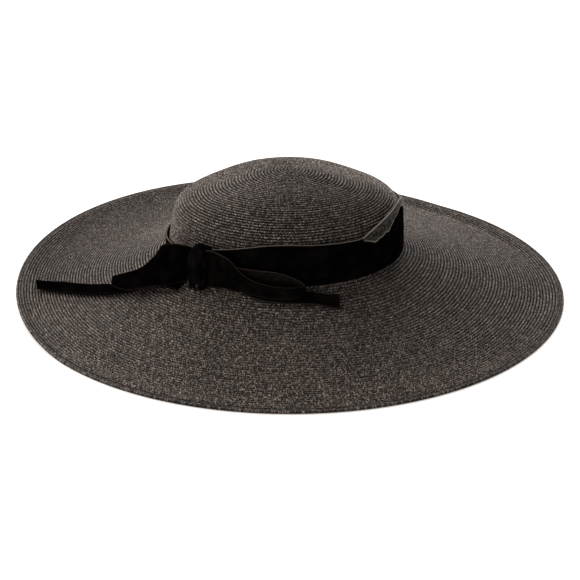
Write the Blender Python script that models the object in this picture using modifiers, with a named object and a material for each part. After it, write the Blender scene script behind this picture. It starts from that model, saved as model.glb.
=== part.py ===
"""Wide-brim hat of sewn black straw braid, with a velvet ribbon band and a flat bow at the front left.

The hat stands crown up, as it rests by itself on a table. Metres, +Z up, the origin on the surface
under the middle of the brim. +X runs along the head's long axis, and -Y faces the viewer, so the bow
is at -X -Y. An azimuth is the angle of an oval: 0 at +X, 90 at the back, 180 at -X, 270 at the front.
"""

import math

import bmesh
import bpy
from mathutils import Vector

# Gap between pieces that touch on the real hat.
GAP = 0.0003

# Brim: an oval sheet that falls like a bell from the crown's foot to its edge.
BRIM_LENGTH = 0.470
BRIM_WIDTH = 0.430
FOOT_HEIGHT = 0.045
STRAW_WALL = 0.0016
COLLAR_HEIGHT = 0.008
EDGE_LIFT = 0.014
LIFT_AZIMUTH = 135.5
LIFT_SPREAD = 82.0
LIFT_REACH = 2.2

# Doubled braid round the edge, which the hat stands on.
RIM_WIDTH = 0.0045
RIM_HEIGHT = 0.0028

# Crown: an oval cap with a steep wall, a rounded shoulder and a shallow dome.
CROWN_LENGTH = 0.1995
CROWN_WIDTH = 0.1605
CROWN_HEIGHT = 0.0705
CROWN_SHIFT = -0.0044
CROWN_LEAN = 0.004
WALL_SQUARENESS = 10.0
DOME_SHARE = 0.37
CROWN_TAPER = 0.037

# Velvet ribbon: the band uses its full width.
RIBBON_WIDTH = 0.048
RIBBON_WALL = 0.0012
BAND_EASE = 0.0006
BAND_SNUG = 0.037
LIP_OPENING = 0.0006
LIP_FLARE = 0.12

# Bow: a soft knot, and strips of the same ribbon whose width their tables give. A strip's middle stands
# proud of its edges by a share of half its wall.
STRIP_CROWN = 0.3
KNOT_WIDTH = 0.018
KNOT_DEPTH = 0.018
KNOT_HEIGHT = 0.033
KNOT_AZIMUTH = 230.0
KNOT_SQUARENESS = 5.0
KNOT_TAPER = 0.35
KNOT_FOLDS = 3
KNOT_FOLD = 0.05

# Steps of the faceted model.
RING_STEPS = 64
BRIM_STATIONS = (0.0, 0.08, 0.17, 0.28, 0.4, 0.53, 0.66, 0.78, 0.89, 1.0)
WALL_STEPS = 11
STRIP_STEPS = 3
KNOT_STEPS = 24

# How far the brim has fallen at four stations between the foot (1) and the edge (0), by azimuth.
BELL_STATIONS = (0.0, 0.25, 0.5, 0.75, 0.88, 1.0)
BELL = (
    # azimuth, quarter, half, three quarters, near the edge
    (0, 0.70, 0.42, 0.165, 0.050),
    (45, 0.71, 0.43, 0.165, 0.045),
    (90, 0.70, 0.42, 0.170, 0.055),
    (135, 0.64, 0.35, 0.130, 0.050),
    (180, 0.66, 0.37, 0.140, 0.050),
    (225, 0.68, 0.40, 0.170, 0.060),
    (270, 0.63, 0.34, 0.120, 0.040),
    (315, 0.57, 0.27, 0.080, 0.020),
)

# Hollows of the crown's top: place and reach are shares of its half length and half width, depth is a
# share of its height.
DENTS = (
    # along, across, reach along, reach across, depth
    (0.10, -0.25, 0.80, 0.20, 0.030),
    (0.53, 0.15, 0.20, 0.50, 0.055),
    (-0.60, 0.15, 0.22, 0.50, 0.075),
)

# The band by azimuth: top edge and turned-over lip as shares of the ribbon's width.
BAND = (
    # azimuth, top, lip
    (0, 0.93, 0.10),
    (12, 0.80, 0.08),
    (30, 0.74, 0.06),
    (60, 0.71, 0.06),
    (90, 0.70, 0.06),
    (120, 0.60, 0.06),
    (150, 0.42, 0.06),
    (180, 0.29, 0.06),
    (195, 0.29, 0.06),
    (206, 0.32, 0.06),
    (216, 0.39, 0.06),
    (228, 0.50, 0.06),
    (240, 0.595, 0.06),
    (250, 0.675, 0.06),
    (260, 0.745, 0.06),
    (270, 0.767, 0.06),
    (285, 0.748, 0.06),
    (300, 0.730, 0.06),
    (309, 0.730, 0.06),
    (315, 0.800, 0.17),
    (320, 0.850, 0.23),
    (326, 0.905, 0.21),
    (332, 0.945, 0.16),
    (339, 0.980, 0.11),
    (348, 1.000, 0.10),
)

# The bow's strips, by their near and far edges, from the knot outwards. Azimuths are degrees from the knot's
# side, places are shares of the brim's free width, and heights above the brim are shares of RIBBON_WIDTH.
LOOP_RIGHT = (
    # near edge: azimuth, place, height; far edge: azimuth, place, height
    (0.4, 0.095, 0.06, 0.4, 0.060, 0.78),
    (6.7, 0.072, 0.05, 9.0, 0.068, 0.62),
    (14.0, 0.077, 0.05, 15.0, 0.072, 0.40),
    (21.5, 0.105, 0.09, 21.0, 0.084, 0.30),
    (29.0, 0.122, 0.09, 29.0, 0.094, 0.25),
    (38.0, 0.118, 0.09, 38.0, 0.090, 0.22),
    (42.5, 0.070, 0.09, 42.5, 0.062, 0.18),
    (38.0, 0.032, 0.05, 39.5, 0.036, 0.23),
    (30.0, 0.024, 0.03, 31.0, 0.028, 0.34),
    (21.0, 0.022, 0.03, 21.0, 0.026, 0.36),
    (12.0, 0.022, 0.03, 12.0, 0.026, 0.37),
    (0.4, 0.045, 0.05, 0.4, 0.036, 0.45),
)
TAIL_RIGHT = (
    (16, 0.080, 0.01, 16, 0.055, 0.01),
    (25, 0.114, 0.01, 25, 0.055, 0.01),
    (32, 0.125, 0.01, 32, 0.052, 0.01),
    (40, 0.131, 0.01, 40, 0.052, 0.01),
    (46, 0.137, 0.01, 46, 0.053, 0.01),
    (52, 0.168, 0.01, 51, 0.072, 0.01),
    (55, 0.181, 0.02, 57, 0.092, 0.02),
)
LOOP_LEFT = (
    (-0.4, 0.115, 0.10, -0.4, 0.062, 0.66),
    (-2.5, 0.160, 0.11, -7.5, 0.064, 0.60),
    (-5.0, 0.205, 0.12, -16.0, 0.064, 0.50),
    (-10.5, 0.270, 0.13, -23.0, 0.074, 0.38),
    (-14.0, 0.330, 0.13, -24.3, 0.125, 0.23),
    (-17.5, 0.390, 0.13, -25.0, 0.225, 0.145),
    (-24.0, 0.425, 0.12, -28.6, 0.385, 0.145),
    (-23.0, 0.415, 0.085, -27.9, 0.375, 0.088),
    (-17.0, 0.370, 0.085, -24.5, 0.240, 0.080),
    (-13.0, 0.310, 0.085, -22.0, 0.150, 0.080),
    (-6.0, 0.200, 0.085, -15.0, 0.090, 0.10),
    (-0.4, 0.120, 0.080, -3.0, 0.055, 0.14),
)
TAIL_LEFT = (
    (-1.5, 0.170, 0.01, -1.5, 0.095, 0.01),
    (-8.0, 0.180, 0.01, -12.0, 0.120, 0.01),
    (-13.5, 0.215, 0.01, -18.0, 0.160, 0.01),
    (-15.0, 0.285, 0.01, -22.0, 0.260, 0.01),
    (-19.5, 0.395, 0.01, -26.0, 0.370, 0.01),
    (-24.5, 0.498, 0.01, -30.5, 0.464, 0.01),
    (-32.5, 0.684, 0.01, -38.5, 0.676, 0.01),
    (-36.0, 0.790, 0.01, -41.0, 0.788, 0.01),
    (-38.5, 0.896, 0.02, -42.5, 0.900, 0.02),
)


def curve_through(knots, values, at):
    """Value at a place of the smooth curve through values given at rising knots."""
    last = len(knots) - 1
    slopes = []
    for i in range(len(knots)):
        before = max(i - 1, 0)
        after = min(i + 1, last)
        slopes.append((values[after] - values[before]) / (knots[after] - knots[before]))
    i = 0
    while i < last - 1 and at > knots[i + 1]:
        i += 1
    span = knots[i + 1] - knots[i]
    u = (at - knots[i]) / span
    rise = (3 - 2 * u) * u * u
    return (
        values[i] * (1 - rise)
        + values[i + 1] * rise
        + slopes[i] * span * u * (1 - u) ** 2
        - slopes[i + 1] * span * u * u * (1 - u)
    )


def round_value(table, column, azimuth):
    """A column of a table by azimuth, read from the closed smooth curve through its rows."""
    rows = len(table)
    azimuth %= 360
    here = max(i for i in range(rows) if table[i][0] <= azimuth)
    near = range(here - 1, here + 3)
    knots = [table[i % rows][0] + 360 * (i // rows) for i in near]
    return curve_through(knots, [table[i % rows][column] for i in near], azimuth)


def edge_lift(azimuth):
    """How far the brim's edge stands off the table: it lies flat but for one long lift at the back left."""
    away = abs((azimuth - LIFT_AZIMUTH + 180) % 360 - 180)
    if away >= LIFT_SPREAD:
        return 0.0
    return EDGE_LIFT * math.cos(math.pi / 2 * away / LIFT_SPREAD) ** 1.15


def brim_point(azimuth, share, above=0.0):
    """A point of the brim's top side, at a share of the way from the crown's foot to the rim."""
    turn = math.radians(azimuth)
    half_length = CROWN_LENGTH / 2 * (1 - share) + (BRIM_LENGTH / 2 - RIM_WIDTH - GAP) * share
    half_width = CROWN_WIDTH / 2 * (1 - share) + (BRIM_WIDTH / 2 - RIM_WIDTH - GAP) * share
    shares = [1.0] + [round_value(BELL, column, azimuth) for column in (1, 2, 3, 4)] + [0.0]
    fall = curve_through(BELL_STATIONS, shares, share)
    height = RIM_HEIGHT + (FOOT_HEIGHT - RIM_HEIGHT) * fall + edge_lift(azimuth) * share**LIFT_REACH
    along = CROWN_SHIFT * (1 - share) + half_length * math.cos(turn)
    return Vector((along, half_width * math.sin(turn), height + above))


def crown_wall(angle):
    """Radius and height shares of the crown's section, at an angle from its foot (0) to its top (90)."""
    c = math.cos(math.radians(angle))
    s = math.sin(math.radians(angle))
    size = (c**WALL_SQUARENESS + s**WALL_SQUARENESS) ** (-1 / WALL_SQUARENESS)
    radius = size * c
    height = (1 - DOME_SHARE) * size * s + DOME_SHARE * (1 - radius**2)
    return radius * (1 - CROWN_TAPER * size * s), height


def dent_depth(along, across):
    depth = 0.0
    for centre_along, centre_across, reach_along, reach_across, share in DENTS:
        u = (along - centre_along) / reach_along
        v = (across - centre_across) / reach_across
        depth += share * math.exp(-u * u - v * v)
    return depth * CROWN_HEIGHT


def crown_point(azimuth, angle):
    radius, height = crown_wall(angle)
    along = radius * math.cos(math.radians(azimuth))
    across = radius * math.sin(math.radians(azimuth))
    return Vector((
        CROWN_SHIFT + CROWN_LEAN * height + along * CROWN_LENGTH / 2,
        across * CROWN_WIDTH / 2,
        FOOT_HEIGHT + GAP + height * CROWN_HEIGHT - dent_depth(along, across) * height,
    ))


def wall_share(up):
    """Radius share of the crown's wall at a height above its foot, found by halving the angle."""
    low, high = 0.0, 90.0
    for _ in range(30):
        middle = (low + high) / 2
        if crown_wall(middle)[1] * CROWN_HEIGHT < up:
            low = middle
        else:
            high = middle
    return crown_wall(low)[0]


def band_share(up):
    """The band lies on the wall as far as BAND_SNUG, and stands straight on from there, off the shoulder."""
    if up <= BAND_SNUG:
        return wall_share(up)
    step = 0.1 * BAND_SNUG
    snug = wall_share(BAND_SNUG)
    return snug + (snug - wall_share(BAND_SNUG - step)) / step * (up - BAND_SNUG)


def off_wall(azimuth, share, out, up):
    """A point at a height above the foot, straight out of the crown's oval at a radius share."""
    turn = math.radians(azimuth)
    along = CROWN_LENGTH / 2 * math.cos(turn)
    across = CROWN_WIDTH / 2 * math.sin(turn)
    outward = Vector((math.cos(turn) / CROWN_LENGTH, math.sin(turn) / CROWN_WIDTH, 0)).normalized()
    shift = CROWN_SHIFT + CROWN_LEAN * up / CROWN_HEIGHT
    return Vector((shift + share * along, share * across, FOOT_HEIGHT + up)) + outward * out


def free_width():
    """How much of the brim is free, between the band's face and the rim."""
    return (BRIM_LENGTH - CROWN_LENGTH) / 2 - RIM_WIDTH - BAND_EASE - RIBBON_WALL


def over_brim(azimuth, place, height):
    """A point straight over the brim. The place is 0 at the band's face and 1 at the rim."""
    start = (BAND_EASE + RIBBON_WALL) / (free_width() + BAND_EASE + RIBBON_WALL)
    return brim_point(azimuth, start + (1 - start) * place, height)


def oval_pace(azimuth):
    """Length of the crown's foot for each radian of azimuth."""
    turn = math.radians(azimuth)
    return math.hypot(CROWN_LENGTH / 2 * math.sin(turn), CROWN_WIDTH / 2 * math.cos(turn))


def knot_side(side):
    """Azimuth of the knot's side towards the front right (1) or the back left (-1), with a gap."""
    return KNOT_AZIMUTH + side * math.degrees((KNOT_WIDTH / 2 + GAP) / oval_pace(KNOT_AZIMUTH))


def principled(name, colour, roughness):
    material = bpy.data.materials.new(name)
    material.use_nodes = True
    shader = material.node_tree.nodes["Principled BSDF"]
    shader.inputs["Base Color"].default_value = (*colour, 1)
    shader.inputs["Roughness"].default_value = roughness
    shader.inputs["Metallic"].default_value = 0.0
    return material


def add_object(name, form, material):
    mesh = bpy.data.meshes.new(name)
    form.to_mesh(mesh)
    form.free()
    mesh.shade_smooth()
    mesh.set_sharp_from_angle(angle=math.radians(40))
    mesh.materials.append(material)
    made = bpy.data.objects.new(name, mesh)
    bpy.data.collections["wide_brim_hat"].objects.link(made)
    return made


def loft(sections, section_closed, path_closed, capped=False):
    """A bmesh through sections that hold as many points each."""
    form = bmesh.new()
    rows = [[form.verts.new(point) for point in section] for section in sections]
    count = len(rows[0])
    for i in range(len(rows) if path_closed else len(rows) - 1):
        here, after = rows[i], rows[(i + 1) % len(rows)]
        for j in range(count if section_closed else count - 1):
            k = (j + 1) % count
            form.faces.new((here[j], here[k], after[k], after[j]))
    if capped:
        form.faces.new(rows[0])
        form.faces.new(rows[-1])
    if section_closed:
        bmesh.ops.recalc_face_normals(form, faces=form.faces)
    return form


def thicken(made, wall):
    """Gives an open sheet its wall, on the side that its faces turn away from."""
    solid = made.modifiers.new("wall", "SOLIDIFY")
    solid.thickness = wall
    solid.offset = -1
    solid.use_even_offset = True


def ring_azimuths():
    return [360 * i / RING_STEPS for i in range(RING_STEPS)]


def make_crown(material):
    form = bmesh.new()
    azimuths = ring_azimuths()
    rings = []
    for step in range(WALL_STEPS):
        angle = 90 * step / WALL_STEPS
        rings.append([form.verts.new(crown_point(azimuth, angle)) for azimuth in azimuths])
    top = form.verts.new(crown_point(0, 90))
    for i in range(RING_STEPS):
        k = (i + 1) % RING_STEPS
        for low, high in zip(rings, rings[1:]):
            form.faces.new((low[i], low[k], high[k], high[i]))
        form.faces.new((rings[-1][i], rings[-1][k], top))
    thicken(add_object("crown", form, material), STRAW_WALL)


def make_brim(material):
    """The brim's sheet, with the collar that stands up inside the crown's foot and is sewn to it."""
    sections = []
    collar_out = -(STRAW_WALL + GAP)
    for azimuth in ring_azimuths():
        section = [
            off_wall(azimuth, wall_share(COLLAR_HEIGHT), collar_out, COLLAR_HEIGHT),
            off_wall(azimuth, 1.0, collar_out, 0.0),
        ]
        section += [brim_point(azimuth, share) for share in BRIM_STATIONS]
        sections.append(section)
    thicken(add_object("brim", loft(sections, False, True), material), STRAW_WALL)


def make_rim(material):
    """Section of the doubled edge, as shares of its width inwards and of its height: flat underneath."""
    profile = ((1.0, 0.0), (0.2, 0.0), (0.0, 0.35), (0.0, 0.7), (0.2, 1.0), (1.0, 1.0))
    sections = []
    for azimuth in ring_azimuths():
        turn = math.radians(azimuth)
        lift = edge_lift(azimuth)
        section = []
        for inwards, height in profile:
            section.append(Vector((
                (BRIM_LENGTH / 2 - inwards * RIM_WIDTH) * math.cos(turn),
                (BRIM_WIDTH / 2 - inwards * RIM_WIDTH) * math.sin(turn),
                lift + height * RIM_HEIGHT,
            )))
        sections.append(section)
    add_object("brim_edge", loft(sections, True, True), material)


def band_section(azimuth):
    """Section of the band: up its inner side, over the fold, down the lip and down its outer side."""
    top = round_value(BAND, 1, azimuth) * RIBBON_WIDTH
    lip = round_value(BAND, 2, azimuth) * RIBBON_WIDTH
    wall = RIBBON_WALL
    lip_in = wall + LIP_OPENING
    spread = LIP_FLARE * lip
    profile = (
        (0.0, GAP),
        (0.0, top * 0.4),
        (0.0, top * 0.75),
        (0.0, top - wall),
        (wall * 0.5, top),
        (lip_in + wall * 0.6, top),
        (lip_in + wall, top - wall),
        (lip_in + wall + spread, top - lip),
        (lip_in + spread, top - lip),
        (lip_in, top - wall * 1.3),
        (wall, top - wall * 1.3),
        (wall, top * 0.7),
        (wall, top * 0.35),
        (wall, GAP),
    )
    return [off_wall(azimuth, band_share(up), BAND_EASE + out, up) for out, up in profile]


def make_band(material):
    sections = [band_section(azimuth) for azimuth in ring_azimuths()]
    add_object("ribbon_band", loft(sections, True, True), material)


def make_strip(name, table, side, wall, material):
    """A strip of ribbon between the smooth curves of its two edges: a closed section swept along them."""
    knots = range(len(table))
    columns = list(zip(*table))
    edges = []
    for step in range((len(table) - 1) * STRIP_STEPS + 1):
        row = [curve_through(knots, column, step / STRIP_STEPS) for column in columns]
        edges.append([
            over_brim(knot_side(side) + azimuth, place, GAP + wall / 2 + height * RIBBON_WIDTH)
            for azimuth, place, height in (row[:3], row[3:])
        ])
    sections = []
    for i, (near, far) in enumerate(edges):
        before = edges[max(i - 1, 0)]
        after = edges[min(i + 1, len(edges) - 1)]
        path = after[0] + after[1] - before[0] - before[1]
        through = (far - near).cross(path).normalized() * wall / 2
        middle = (near + far) / 2 + through * STRIP_CROWN
        sections.append([
            near + through,
            middle + through,
            far + through,
            far - through,
            middle - through,
            near - through,
        ])
    add_object(name, loft(sections, True, False, capped=True), material)


def make_knot(material):
    """A soft upright knot: a squared ball with folds round it, seated on the brim a gap off the band."""
    form = bmesh.new()
    bmesh.ops.create_uvsphere(form, u_segments=KNOT_STEPS, v_segments=KNOT_STEPS // 2, radius=1)
    turn = math.degrees(KNOT_WIDTH / 2 / oval_pace(KNOT_AZIMUTH))
    for vert in form.verts:
        unit = vert.co.copy()
        size = sum(abs(part) ** KNOT_SQUARENESS for part in unit) ** (-1 / KNOT_SQUARENESS)
        rise = (1 + unit.z * size) / 2
        fold = KNOT_FOLD * max(unit.x, 0) * math.cos(math.pi * KNOT_FOLDS * unit.y)
        depth = KNOT_DEPTH * (1 - KNOT_TAPER * rise) * (1 + fold)
        vert.co = over_brim(
            KNOT_AZIMUTH + turn * unit.y * size,
            (GAP + depth * (1 + unit.x * size) / 2) / free_width(),
            GAP + KNOT_HEIGHT * rise,
        )
    bmesh.ops.recalc_face_normals(form, faces=form.faces)
    add_object("bow_knot", form, material)


def main():
    for old in list(bpy.data.objects):
        bpy.data.objects.remove(old)
    collection = bpy.data.collections.new("wide_brim_hat")
    bpy.context.scene.collection.children.link(collection)
    straw = principled("lacquered_straw", (0.022, 0.018, 0.016), 0.45)
    edge_straw = principled("edge_straw", (0.020, 0.017, 0.015), 0.42)
    crown_straw = principled("crown_straw", (0.022, 0.018, 0.016), 0.45)
    velvet = principled("band_velvet", (0.002, 0.002, 0.002), 0.95)
    make_crown(crown_straw)
    make_brim(straw)
    make_rim(edge_straw)
    make_band(velvet)
    make_knot(principled("knot_velvet", (0.003, 0.003, 0.003), 0.95))
    bow_velvet = principled("bow_velvet", (0.002, 0.002, 0.002), 0.95)
    make_strip("bow_loop_left", LOOP_LEFT, -1, RIBBON_WALL, bow_velvet)
    make_strip("bow_loop_right", LOOP_RIGHT, 1, RIBBON_WALL, bow_velvet)
    make_strip("tail_left", TAIL_LEFT, -1, 2 * RIBBON_WALL, bow_velvet)
    make_strip("tail_right", TAIL_RIGHT, 1, 2 * RIBBON_WALL, bow_velvet)


main()
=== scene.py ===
# %% [markdown]
# # A wide-brim hat of sewn straw braid
# The hat is one long black straw braid, sewn round and round into a crown and a brim, with a velvet
# ribbon tied round it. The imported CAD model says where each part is. This lesson dresses it: every
# visible piece is made again here at full detail, in the same place, and stands for its CAD node.

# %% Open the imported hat
import math

import bpy
import numpy as np
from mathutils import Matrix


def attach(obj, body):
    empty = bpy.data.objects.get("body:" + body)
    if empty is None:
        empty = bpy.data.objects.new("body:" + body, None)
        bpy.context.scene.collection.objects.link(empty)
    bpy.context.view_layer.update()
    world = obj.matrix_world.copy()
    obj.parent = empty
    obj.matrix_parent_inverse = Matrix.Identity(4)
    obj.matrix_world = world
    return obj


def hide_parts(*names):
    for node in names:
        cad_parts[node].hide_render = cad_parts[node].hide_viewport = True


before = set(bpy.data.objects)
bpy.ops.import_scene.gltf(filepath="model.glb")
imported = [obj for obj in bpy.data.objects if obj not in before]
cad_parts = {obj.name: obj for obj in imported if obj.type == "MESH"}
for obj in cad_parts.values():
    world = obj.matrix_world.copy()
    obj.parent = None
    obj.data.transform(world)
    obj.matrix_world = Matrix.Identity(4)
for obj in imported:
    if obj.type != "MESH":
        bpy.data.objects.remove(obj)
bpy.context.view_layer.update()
print("CAD nodes:", ", ".join(sorted(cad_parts)))

# %% [markdown]
# ## Sizes
# The shapes follow the same named sizes as the CAD model, in metres, so that they meet its solids. The
# ones that several pieces share stand here, and the others where they are first needed.

# %% Sizes of the hat
GAP = 0.0003
STRAW_WALL = 0.0016

BRIM_LENGTH = 0.470
BRIM_WIDTH = 0.430
FOOT_HEIGHT = 0.045
RIM_WIDTH = 0.0045
RIM_HEIGHT = 0.0028

CROWN_LENGTH = 0.1995
CROWN_WIDTH = 0.1605
CROWN_SHIFT = -0.0044

RIBBON_WIDTH = 0.048
RIBBON_SPACE = 0.0012
RIBBON_WALL = 0.0008
BAND_EASE = 0.0006

print("brim", BRIM_LENGTH, "by", BRIM_WIDTH, "m, ribbon", RIBBON_WIDTH, "m wide")

# %% [markdown]
# ## A smooth curve through a few values
# The hat's shape is given by small tables, read from the photograph: how high the brim stands at eight
# places round it, how tall the band is, where the ribbon's edges lie. A curve that passes smoothly
# through such values needs no more than a cubic between each two of them. Written for whole arrays,
# one call gives a thousand points.


# %% Curves through tables
def through(knots, values, at):
    """The smooth curve through values at rising knots. A second axis of the values goes with that of at."""
    knots = np.asarray(knots, float)
    values = np.asarray(values, float)
    last = len(knots) - 1
    before = np.maximum(np.arange(last + 1) - 1, 0)
    after = np.minimum(np.arange(last + 1) + 1, last)
    steps = (knots[after] - knots[before]).reshape(-1, *[1] * (values.ndim - 1))
    slopes = (values[after] - values[before]) / steps
    i = np.clip(np.searchsorted(knots, at) - 1, 0, last - 1)
    span = knots[i + 1] - knots[i]
    u = (at - knots[i]) / span
    if values.ndim == 1:
        low, high, leaving, arriving = values[i], values[i + 1], slopes[i], slopes[i + 1]
    else:
        low, high = np.take_along_axis(values, i, 0), np.take_along_axis(values, i + 1, 0)
        leaving, arriving = np.take_along_axis(slopes, i, 0), np.take_along_axis(slopes, i + 1, 0)
    rise = (3 - 2 * u) * u * u
    return (
        low * (1 - rise)
        + high * rise
        + leaving * span * u * (1 - u) ** 2
        - arriving * span * u * u * (1 - u)
    )


def round_value(table, column, azimuth):
    """A column of a table by azimuth, from the closed curve through its rows."""
    rows = len(table)
    turns = range(-2, rows + 3)
    knots = [table[i % rows][0] + 360 * (i // rows) for i in turns]
    return through(knots, [table[i % rows][column] for i in turns], np.asarray(azimuth, float) % 360)


print("half-way from 0 to 1:", float(through((0, 1), (0, 1), 0.5)))

# %% [markdown]
# ## The brim's rule
# The brim falls from the crown's foot to the table like a shallow bell, and its edge stands up a little
# at the back left. At the back right the last rows turn up, which leaves a shallow dip inside the edge.
# For any azimuth and any share of the way out, this rule gives a point of the brim's top side.

# %% The brim's top side
EDGE_LIFT = 0.014
LIFT_AZIMUTH = 135.5
LIFT_SPREAD = 82.0
LIFT_POWER = 1.15
LIFT_REACH = 2.2
DIP_AZIMUTH = 38.0
DIP_SPREAD = 34.0
DIP_SHARE = 0.92
DIP_REACH = 0.045
DIP_DEPTH = 0.0022
BELL_STATIONS = (0.0, 0.25, 0.5, 0.75, 0.88, 1.0)
BELL = (
    # azimuth, height left at a quarter, at half, at three quarters, near the edge
    (0, 0.70, 0.42, 0.165, 0.050),
    (45, 0.71, 0.43, 0.165, 0.045),
    (90, 0.70, 0.42, 0.170, 0.055),
    (135, 0.64, 0.35, 0.130, 0.050),
    (180, 0.66, 0.37, 0.140, 0.050),
    (225, 0.68, 0.40, 0.170, 0.060),
    (270, 0.63, 0.34, 0.120, 0.040),
    (315, 0.57, 0.27, 0.080, 0.020),
)


def degrees_from(middle, azimuth):
    return (azimuth - middle + 180) % 360 - 180


def edge_lift(azimuth):
    """How high the edge stands up round the back left."""
    away = np.minimum(np.abs(degrees_from(LIFT_AZIMUTH, azimuth)), LIFT_SPREAD)
    return EDGE_LIFT * np.maximum(np.cos(math.pi / 2 * away / LIFT_SPREAD), 0) ** LIFT_POWER


def edge_dip(azimuth, share):
    """How far the brim dips inside its edge at the back right."""
    away = degrees_from(DIP_AZIMUTH, azimuth)
    return DIP_DEPTH * np.exp(-((away / DIP_SPREAD) ** 2) - ((share - DIP_SHARE) / DIP_REACH) ** 2)


def brim_point(azimuth, share, above=0.0):
    """Points of the brim's top side for arrays of azimuths and of shares from the foot (0) to the rim (1)."""
    azimuth, share, above = np.broadcast_arrays(np.asarray(azimuth, float), share, above)
    turn = np.radians(azimuth)
    half_length = CROWN_LENGTH / 2 * (1 - share) + (BRIM_LENGTH / 2 - RIM_WIDTH - GAP) * share
    half_width = CROWN_WIDTH / 2 * (1 - share) + (BRIM_WIDTH / 2 - RIM_WIDTH - GAP) * share
    flat = azimuth.ravel()
    heights = [np.ones_like(flat)] + [round_value(BELL, column, flat) for column in (1, 2, 3, 4)]
    heights = np.stack(heights + [np.zeros_like(flat)])
    fall = through(BELL_STATIONS, heights, share.ravel()[None, :])[0].reshape(share.shape)
    up = RIM_HEIGHT + (FOOT_HEIGHT - RIM_HEIGHT) * fall + edge_lift(azimuth) * share**LIFT_REACH
    up = up - edge_dip(azimuth, share) + above
    along = CROWN_SHIFT * (1 - share) + half_length * np.cos(turn)
    return np.stack([along, half_width * np.sin(turn), up], -1)


print("brim, from foot to rim at the right:", brim_point(0.0, np.linspace(0, 1, 4)).round(4).tolist())

# %% [markdown]
# ## The crown's rule
# The crown is an oval cap: a wall that leans in a little, a rounded shoulder, and a shallow dome with the
# soft hollows that a straw crown gets with wear. Its section is a superellipse, the rule between a
# rectangle and an ellipse, and the hollows are smooth bumps taken off its height.

# %% The crown's outside
CROWN_HEIGHT = 0.0705
CROWN_LEAN = 0.004
CROWN_TAPER = 0.037
WALL_SQUARENESS = 10.0
DOME_SHARE = 0.37
DENTS = (
    # along, across, reach along, reach across, depth
    (0.10, -0.25, 0.80, 0.20, 0.030),
    (0.53, 0.15, 0.20, 0.50, 0.055),
    (-0.60, 0.15, 0.22, 0.50, 0.075),
)


def crown_wall(angle):
    """Radius and height shares of the crown's section, from its foot (0 degrees) to its top (90)."""
    c = np.cos(np.radians(angle))
    s = np.sin(np.radians(angle))
    size = (c**WALL_SQUARENESS + s**WALL_SQUARENESS) ** (-1 / WALL_SQUARENESS)
    radius = size * c
    height = (1 - DOME_SHARE) * size * s + DOME_SHARE * (1 - radius**2)
    return radius * (1 - CROWN_TAPER * size * s), height


def crown_point(azimuth, angle):
    """Points of the crown's outside, dents and all."""
    radius, height = crown_wall(angle)
    along = radius * np.cos(np.radians(azimuth))
    across = radius * np.sin(np.radians(azimuth))
    dent = 0
    for centre_along, centre_across, reach_along, reach_across, share in DENTS:
        dent = dent + share * np.exp(
            -(((along - centre_along) / reach_along) ** 2) - ((across - centre_across) / reach_across) ** 2
        )
    return np.stack([
        CROWN_SHIFT + CROWN_LEAN * height + along * CROWN_LENGTH / 2,
        across * CROWN_WIDTH / 2,
        FOOT_HEIGHT + GAP + height * CROWN_HEIGHT * np.ones_like(along) - dent * CROWN_HEIGHT * height,
    ], -1)


SECTION_ANGLES = np.linspace(0, 90, 1801)
SECTION_RADIUS, SECTION_HEIGHT = crown_wall(SECTION_ANGLES)


def wall_share(up):
    """Radius share of the crown's wall at a height above its foot."""
    return np.interp(up, SECTION_HEIGHT * CROWN_HEIGHT, SECTION_RADIUS)


def off_wall(azimuth, share, out, up):
    """Points at a height above the foot, straight out of the crown's oval at a radius share."""
    turn = np.radians(azimuth)
    normal = np.stack([np.cos(turn) / CROWN_LENGTH, np.sin(turn) / CROWN_WIDTH], -1)
    normal = normal / np.linalg.norm(normal, axis=-1, keepdims=True)
    shift = CROWN_SHIFT + CROWN_LEAN * up / CROWN_HEIGHT
    return np.stack(np.broadcast_arrays(
        shift + share * CROWN_LENGTH / 2 * np.cos(turn) + normal[..., 0] * out,
        share * CROWN_WIDTH / 2 * np.sin(turn) + normal[..., 1] * out,
        FOOT_HEIGHT + up,
    ), -1)


print("crown, top of the dome:", crown_point(0.0, 90.0).round(4).tolist())

# %% [markdown]
# ## From rings of points to a closed skin
# Every piece here is a loft: rings of points, one after the other, joined by quads. One helper makes
# them all. It also lays the UV map, which is what lets a plait or a nap follow the piece: U runs along
# the braid or ribbon, and V counts braid rows or runs across the ribbon.


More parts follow.
